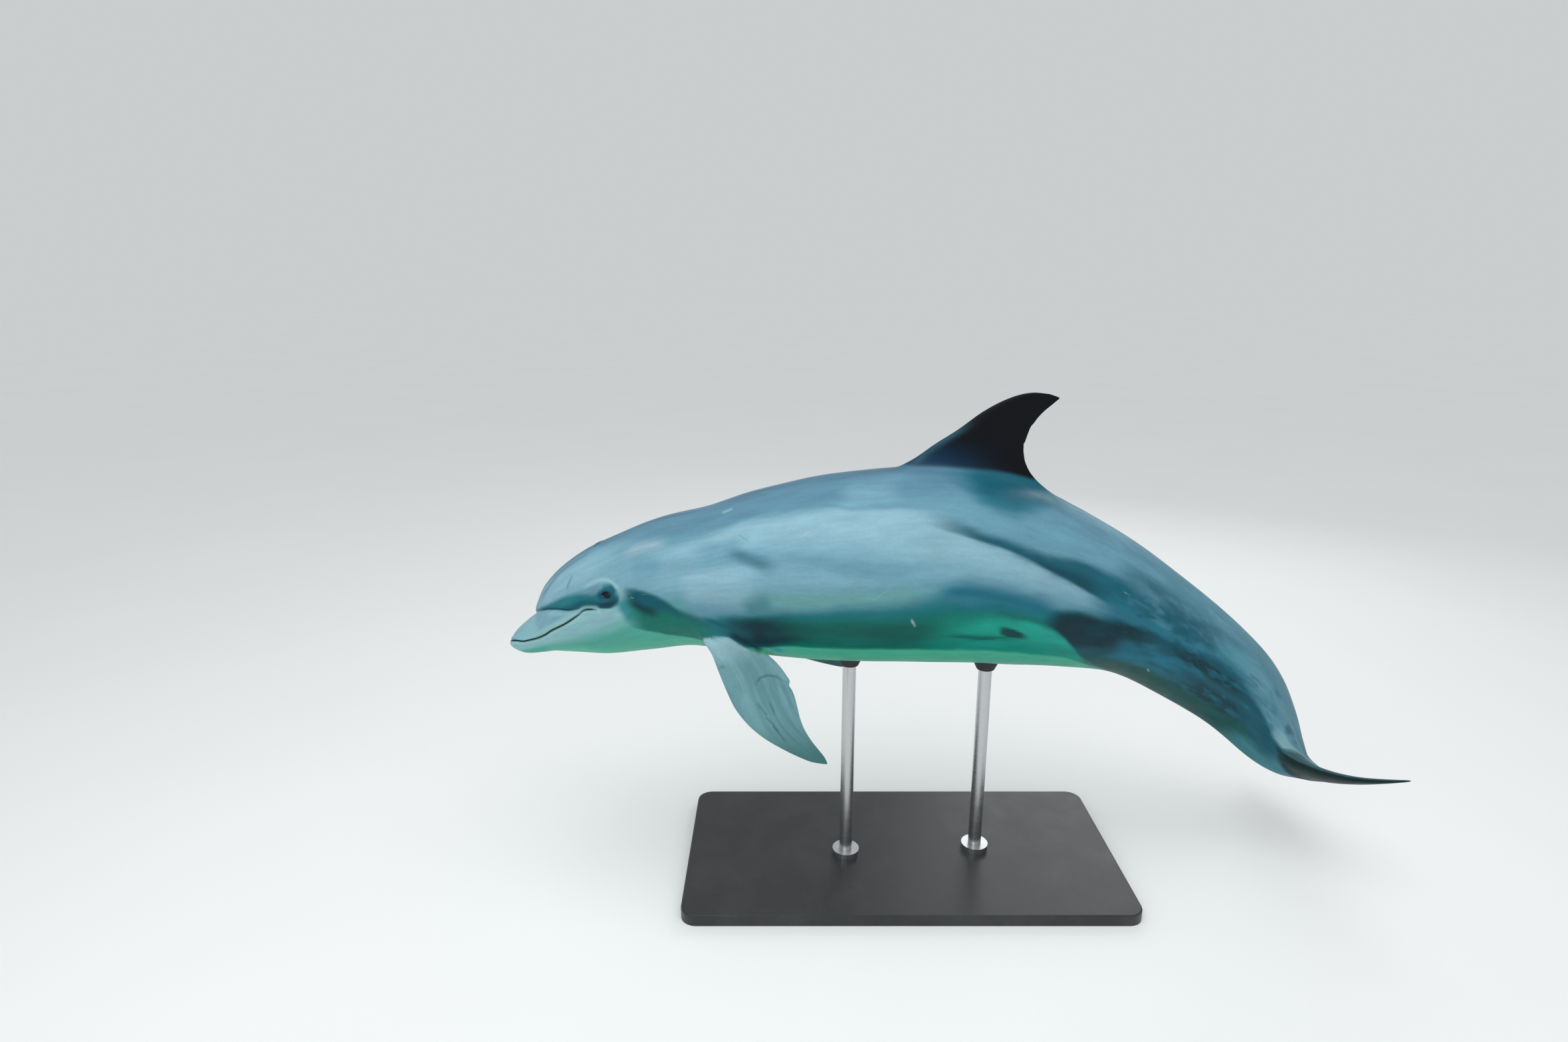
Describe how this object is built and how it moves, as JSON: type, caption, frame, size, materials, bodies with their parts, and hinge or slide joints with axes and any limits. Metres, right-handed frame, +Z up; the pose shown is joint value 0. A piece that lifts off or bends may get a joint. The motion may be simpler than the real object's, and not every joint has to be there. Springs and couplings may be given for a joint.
{
  "type": "bottlenose dolphin",
  "caption": "Life-size still model of a swimming bottlenose dolphin, gently arched, held on two rods over a flat display base.",
  "frame": {"origin": "middle of the underside of the stand's base, where it stands on the floor", "axes": "+Z up, +X toward the tail with the head at -X, the animal's left side toward -Y and its right side toward +Y"},
  "size_m": [2.2678, 0.6113, 1.2865],
  "materials": {
    "skin": "smooth hairless skin, slate blue-grey above fading to a pale belly, softly glossy",
    "eye": "wet, very dark brown",
    "stand_base": "satin black paint",
    "stand_metal": "satin",
    "stand_pad": "matt black"
  },
  "bodies": {
    "root": {"head": "skin", "upper_jaw": "skin", "lower_jaw": "skin", "blowhole": "skin", "neck": "skin", "chest": "skin", "belly": "skin", "loins": "skin", "tail_stock": "skin", "dorsal_fin": "skin", "flipper_left": "skin", "flipper_right": "skin", "fluke_left": "skin", "fluke_right": "skin", "eye_left": "eye", "eye_right": "eye", "stand_base": "stand_base", "stand_ferrule_front": "stand_metal", "stand_ferrule_rear": "stand_metal", "stand_rod_front": "stand_metal", "stand_rod_rear": "stand_metal", "stand_saddle_front": "stand_pad", "stand_saddle_rear": "stand_pad"}
  },
  "joints": []
}
